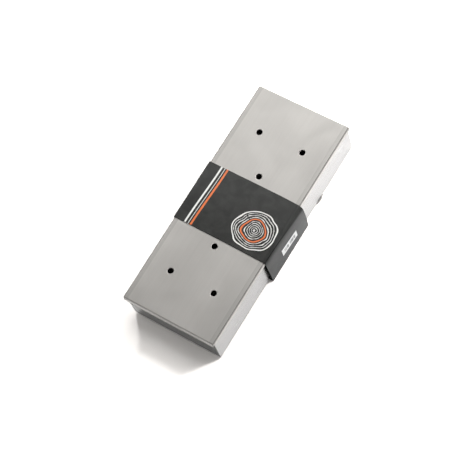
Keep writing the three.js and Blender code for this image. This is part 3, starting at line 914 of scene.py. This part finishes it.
# The end walls' outer faces are painted darker than the tray and the lid, as shade
wall_outside_painted_shade = brushed_steel(
    "end wall steel", colour(0.53, 0.52, 0.50), colour(0.46, 0.45, 0.43), 0.16, CROSSWISE, turn=0.25)
wall_inside = brushed_steel(
    "end wall steel inside", colour(0.60, 0.59, 0.57), colour(0.52, 0.51, 0.49), INSIDE_ROUGH, CROSSWISE,
    turn=0.25)
cut_steel = sheared_steel("sheared edge")
card_print = printed_card()
card_inside = bare_board("card inside", colour(0.05, 0.049, 0.046), colour(0.03, 0.0295, 0.028))
card_cut = bare_board("card cut edge", colour(0.036, 0.033, 0.031), colour(0.018, 0.017, 0.016))
paper = label_paper()


# Pieces

lid_steel = lid_outside, lid_inside, cut_steel
tray_steel = tray_outside, tray_inside, cut_steel
wall_steel = wall_outside_painted_shade, wall_inside, cut_steel
card = card_print, card_inside, card_cut

patches, keep = lid_patches()
sheet_piece("lid", patches, SHEET, lid_steel, "lid", ["sliding_lid"], keep=keep)
sheet_piece("tray", tray_patches(), SHEET, tray_steel, "tray", ["tray_shell"])
patches, keep = end_wall_patches(True, TRAY_FRONT, 1)
sheet_piece("front_wall", patches, SHEET, wall_steel, "tray", ["front_end_wall"], keep=keep)
patches, keep = end_wall_patches(False, TRAY_REAR, -1)
sheet_piece("rear_wall", patches, SHEET, wall_steel, "tray", ["rear_end_wall"], keep=keep)
sheet_piece(
    "sleeve", sleeve_patches(), CARD, card, "sleeve", ["card_sleeve"], soften=0.05)
sheet_piece(
    "label", label_patches(), LABEL_THICKNESS, (paper,) * 3, "sleeve", ["paper_label"],
    soften=0.02)


# Floor, light and camera. Places and distances from here on are in metres, and the camera's sensor
# and lens are in millimetres.

FLOOR_HALF = 3.0
FLOOR_SHOWN = shaded(colour(1.02, 0.99, 0.96), 1.77)
# The floor's brighter mirrored colour beside the rear half of the box is a painted reflection on the steel
FLOOR_LIGHT, FLOOR_MIRRORED, FLOOR_MIRRORED_PAINTED_BRIGHTER = grey(0.85), grey(1.06), grey(1.3)
PAINTED_BRIGHTER_STARTS, PAINTED_BRIGHTER_ENDS = (-0.06, 0.06), (0.118, 0.092)
FADE_START, FADE_END = 0.3, 0.7

ROOM_SIDES = (("Y", 1, 1.0), ("Y", -1, 0.15), ("X", 1, 0.35), ("X", -1, 0.5))
ROOM_OVERHEAD = 0.33
# Where each part of the room starts and is full, as parts of the unit vector towards it
LOW_DOWN, OVERHEAD = (0.65, 0.1), (0.5, 0.95)
SIDE_STARTS, SIDE_FULL = 0.1, 0.9

LAMP_DISTANCE = 1.3

CAMERA_SENSOR, CAMERA_LENS = 36.0, 137.25
CAMERA_AZIMUTH, CAMERA_ELEVATION, CAMERA_ROLL = 126.28, 64.35, 24.04
CAMERA_AIM = -0.01113, -0.00947, 0.02
CAMERA_DISTANCE = 1.4591
CAMERA_NEAR, CAMERA_FAR = 0.05, 20.0


def studio_floor():
    """A pale floor that keeps the shadow. Its colour is brighter to the camera and in reflections,
    so that it reads as the white sweep of a studio, and no brighter as light on the box. Beside the
    rear half of the box its colour in reflections is brighter still, a painted reflection on the
    steel's rear half. Away from the box the camera sees it fade to plain white."""
    mesh = bpy.data.meshes.new("floor")
    near, far = -FLOOR_HALF, FLOOR_HALF
    mesh.from_pydata([(near, near, 0), (far, near, 0), (far, far, 0), (near, far, 0)], [], [(0, 1, 2, 3)])
    floor = bpy.data.objects.new("floor", mesh)
    bpy.context.scene.collection.objects.link(floor)
    finish = bpy.data.materials.new("floor")
    finish.use_nodes = True
    tree = finish.node_tree
    tree.nodes.clear()
    path = add(tree, "ShaderNodeLightPath").outputs
    place = add(tree, "ShaderNodeTexCoord").outputs["Object"]
    along = parts_of(tree, place)["Y"]
    # Painted reflection: beside the rear half of the box the floor is brighter in the steel's gloss
    beside = times(tree, spread(tree, along, *PAINTED_BRIGHTER_STARTS), spread(tree, along, *PAINTED_BRIGHTER_ENDS))
    mirrored = maths(tree, "MAXIMUM", path["Is Glossy Ray"], path["Is Transmission Ray"])
    tone = tinted(tree, mirrored, FLOOR_LIGHT, tinted(tree, beside, FLOOR_MIRRORED, FLOOR_MIRRORED_PAINTED_BRIGHTER))
    tone = tinted(tree, path["Is Camera Ray"], tone, FLOOR_SHOWN)
    matt = add(tree, "ShaderNodeBsdfDiffuse", {"Color": tone})
    white = add(tree, "ShaderNodeEmission", {"Color": colour(1, 1, 1), "Strength": 1.0})
    away = add(tree, "ShaderNodeVectorMath", {0: place}, operation="LENGTH").outputs["Value"]
    share = times(tree, spread(tree, away, FADE_START, FADE_END), path["Is Camera Ray"])
    both = add(tree, "ShaderNodeMixShader", {0: share, 1: matt.outputs[0], 2: white.outputs[0]})
    output = add(tree, "ShaderNodeOutputMaterial")
    tree.links.new(both.outputs[0], output.inputs["Surface"])
    mesh.materials.append(finish)


def direction(azimuth, elevation):
    """The unit vector towards a lamp or the camera. Azimuth turns from the back of the box towards
    its right, in degrees."""
    a, e = math.radians(azimuth), math.radians(elevation)
    return Vector((math.sin(a) * math.cos(e), math.cos(a) * math.cos(e), math.sin(e)))


def soft_light(name, azimuth, elevation, width, height, power, on_matt=True, in_gloss=True):
    """A rectangular lamp aimed at the box. It can be kept from lighting matt surfaces, or from
    showing in the gloss of the steel."""
    lamp = bpy.data.lights.new(name, "AREA")
    lamp.shape = "RECTANGLE"
    lamp.size, lamp.size_y = width, height
    lamp.energy = power
    holder = bpy.data.objects.new(name, lamp)
    away = direction(azimuth, elevation)
    holder.location = away * LAMP_DISTANCE
    holder.rotation_mode = "QUATERNION"
    holder.rotation_quaternion = away.to_track_quat("Z", "Y")
    holder.visible_diffuse, holder.visible_glossy = on_matt, in_gloss
    bpy.context.scene.collection.objects.link(holder)


def studio_world():
    """The room as the box mirrors it: low down it is white at the back and darker on the camera's side,
    and overhead it is grey. The camera itself sees it white."""
    world = bpy.data.worlds.new("studio")
    bpy.context.scene.world = world
    world.use_nodes = True
    tree = world.node_tree
    tree.nodes.clear()
    xyz = parts_of(tree, add(tree, "ShaderNodeTexCoord").outputs["Generated"])
    low_down = spread(tree, xyz["Z"], *LOW_DOWN)
    sky = times(tree, spread(tree, xyz["Z"], *OVERHEAD), ROOM_OVERHEAD)
    for axis, sign, level in ROOM_SIDES:
        side = times(tree, low_down, spread(tree, xyz[axis], SIDE_STARTS * sign, SIDE_FULL * sign))
        sky = maths(tree, "MULTIPLY_ADD", side, level, sky)
    shown = tinted(tree, add(tree, "ShaderNodeLightPath").outputs["Is Camera Ray"], sky, colour(1, 1, 1))
    shader = add(tree, "ShaderNodeBackground", {"Color": shown, "Strength": 1.0})
    output = add(tree, "ShaderNodeOutputWorld")
    tree.links.new(shader.outputs[0], output.inputs["Surface"])


def photo_camera():
    """A long lens above the front right corner, aimed at a point on the box and rolled clockwise."""
    lens = bpy.data.cameras.new("camera")
    lens.sensor_width = CAMERA_SENSOR
    lens.lens = CAMERA_LENS
    lens.clip_start, lens.clip_end = CAMERA_NEAR, CAMERA_FAR
    holder = bpy.data.objects.new("camera", lens)
    bpy.context.scene.collection.objects.link(holder)
    away = direction(CAMERA_AZIMUTH, CAMERA_ELEVATION)
    roll = math.radians(CAMERA_ROLL)
    forward = -away
    right = forward.cross(Vector((0, 0, 1))).normalized()
    upright = right.cross(forward)
    up = upright * math.cos(roll) + right * math.sin(roll)
    turned = Matrix((forward.cross(up), up, away)).transposed()
    holder.rotation_mode = "QUATERNION"
    holder.rotation_quaternion = turned.to_quaternion()
    holder.location = Vector(CAMERA_AIM) + away * CAMERA_DISTANCE
    bpy.context.scene.camera = holder


studio_floor()
# The sheens show only in the steel's gloss. The high, right and left lights keep out of it, and light
# matt surfaces and cast the shadow. The back light does both.
soft_light("back light", 22, 46, 1.4, 0.4, 3.5)
soft_light("back sheen", 22, 46, 1.4, 0.4, 12.6, on_matt=False)
soft_light("high sheen", 35, 60, 0.3, 0.25, 4.9, on_matt=False)
soft_light("left sheen", -65, 40, 0.8, 0.5, 3.7, on_matt=False)
soft_light("high light", 10, 69, 1.0, 0.72, 5.6, in_gloss=False)
soft_light("right light", 42, 44.5, 0.16, 0.13, 8.0, in_gloss=False)
soft_light("left light", -46, 51, 0.16, 0.13, 4.2, in_gloss=False)
studio_world()
photo_camera()
bpy.context.scene.view_settings.view_transform = "Standard"
